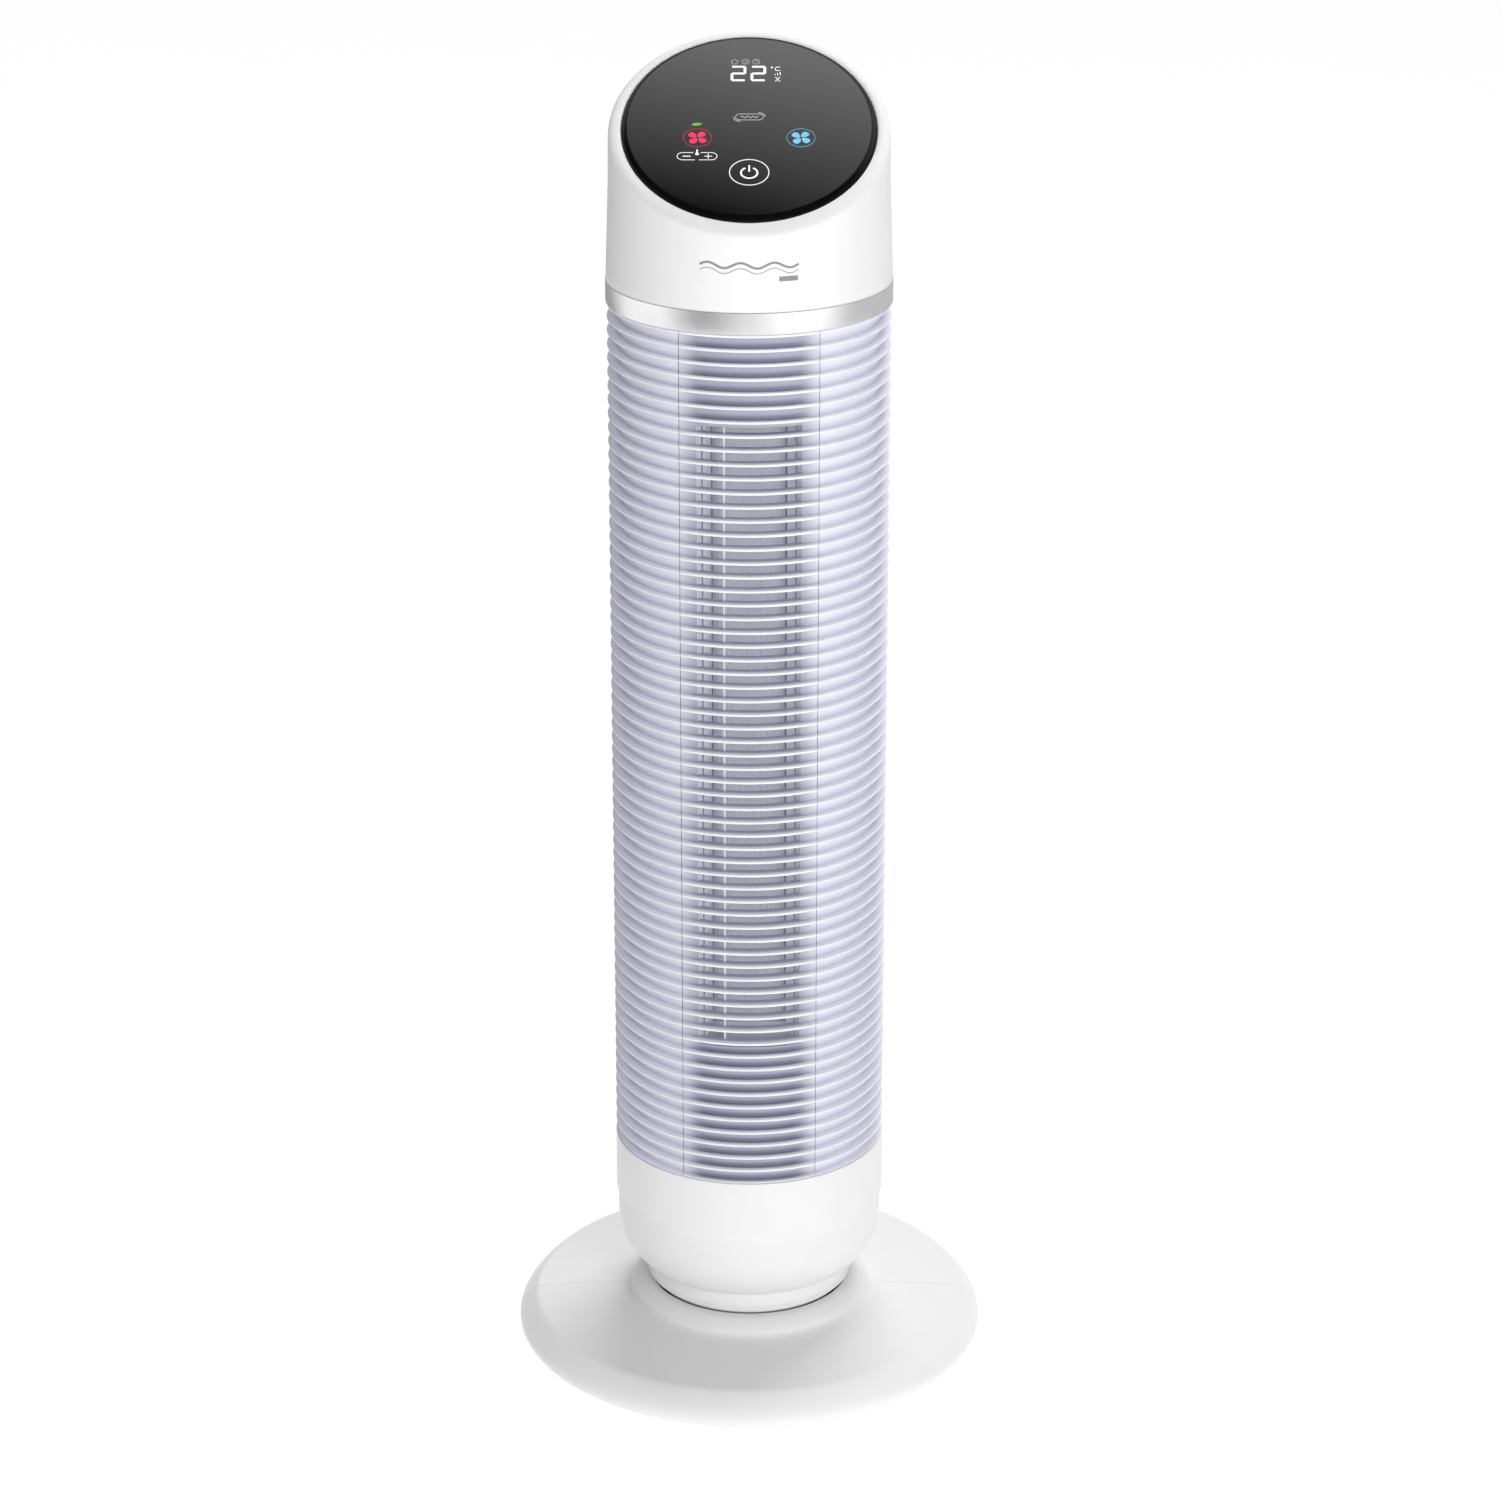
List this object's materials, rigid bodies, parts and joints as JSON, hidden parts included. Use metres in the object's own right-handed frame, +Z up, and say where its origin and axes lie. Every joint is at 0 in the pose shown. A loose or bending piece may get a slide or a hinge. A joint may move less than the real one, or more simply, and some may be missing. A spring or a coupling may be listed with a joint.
{
  "type": "tower fan",
  "caption": "Slatted tower fan heater column with a sloping touch display on a round swivelling base, with crossflow impeller, heater and drives inside.",
  "frame": {"origin": "on the floor under the swivel axis, at the middle of the round base", "axes": "+Z up along the swivel axis; the air outlet and the display face -Y; +X is to the right of someone facing the front"},
  "size_m": [0.3178, 0.3178, 0.8839],
  "materials": {
    "white_casing": "semi-gloss moulded white",
    "lavender_grille": "satin moulded pale lavender",
    "silver_trim": "satin silver",
    "black_glass": "black gloss",
    "rubber": "matt black",
    "acetal": "natural acetal",
    "steel": "zinc plated",
    "ballast_iron": "raw casting",
    "grey_plastic": "moulded grey",
    "dark_plastic": "moulded dark grey",
    "circuit_board": "green solder mask",
    "ceramic": "matt",
    "mica": "matt pressed mica",
    "filter_mesh": "woven dark nylon",
    "icon_white": "lit white mark",
    "icon_red": "lit red mark",
    "icon_blue": "lit blue mark",
    "icon_green": "lit green mark",
    "icon_grey": "printed grey mark"
  },
  "bodies": {
    "base": {"base_cover_front": "white_casing", "base_cover_rear": "white_casing", "base_plate": "dark_plastic", "base_ballast": "ballast_iron", "foot_1": "rubber", "foot_2": "rubber", "foot_3": "rubber", "foot_4": "rubber", "foot_5": "rubber", "base_screw_1": "steel", "base_screw_2": "steel", "base_screw_3": "steel", "cord_gland": "rubber", "base_collar": "white_casing", "swivel_bearing": "acetal", "swivel_motor": "steel", "tip_switch": "dark_plastic"},
    "tower": {"turntable": "acetal", "swivel_gear": "acetal", "lower_cup": "white_casing", "lower_body_ring": "white_casing", "rear_screw_1": "steel", "rear_screw_2": "steel", "outlet_grille": "lavender_grille", "side_panel_right": "lavender_grille", "side_panel_left": "lavender_grille", "rear_grille": "lavender_grille", "intake_cover": "lavender_grille", "dust_filter": "filter_mesh", "trim_ring": "silver_trim", "head_shell": "white_casing", "glass_panel": "black_glass", "touch_board": "circuit_board", "led_display": "dark_plastic", "board_carrier": "grey_plastic", "duct_floor": "grey_plastic", "duct_ceiling": "grey_plastic", "duct_scroll": "grey_plastic", "duct_tongue": "grey_plastic", "outlet_vane": "white_casing", "heater_frame": "mica", "heater_core_1": "ceramic", "heater_core_2": "ceramic", "heater_core_3": "ceramic", "thermal_cutout": "steel", "upper_bearing": "steel", "bearing_grommet": "rubber", "fan_motor": "steel", "motor_mount": "rubber", "power_board": "circuit_board", "board_capacitor": "dark_plastic"},
    "rotor": {"impeller": "grey_plastic", "impeller_hub": "rubber", "motor_shaft": "steel", "impeller_pin": "steel"},
    "swivel_drive": {"swivel_pinion": "acetal", "swivel_motor_shaft": "steel"},
    "tip_plunger": {"tip_plunger": "dark_plastic"}
  },
  "joints": [
    {"name": "swivel", "type": "hinge", "parent": "base", "child": "tower", "pos_m": [0, 0, 0.037], "axis": [0, 0, 1], "range_deg": [-45, 45]},
    {"name": "fan_spin", "type": "hinge", "parent": "tower", "child": "rotor", "pos_m": [0, 0.014, 0.2], "axis": [0, 0, 1], "continuous": true},
    {"name": "swivel_drive_spin", "type": "hinge", "parent": "base", "child": "swivel_drive", "pos_m": [0, 0.054, 0.02], "axis": [0, 0, 1], "range_deg": [-158, 158]},
    {"name": "tip_switch_travel", "type": "slide", "parent": "base", "child": "tip_plunger", "axis": [0, 0, -1], "range_m": [0, 0.004], "stiffness_N_per_m": 100, "springref_m": 0.006}
  ],
  "couplings": [
    {"joint": "swivel_drive_spin", "follows": "swivel", "ratio": -3.5}
  ]
}
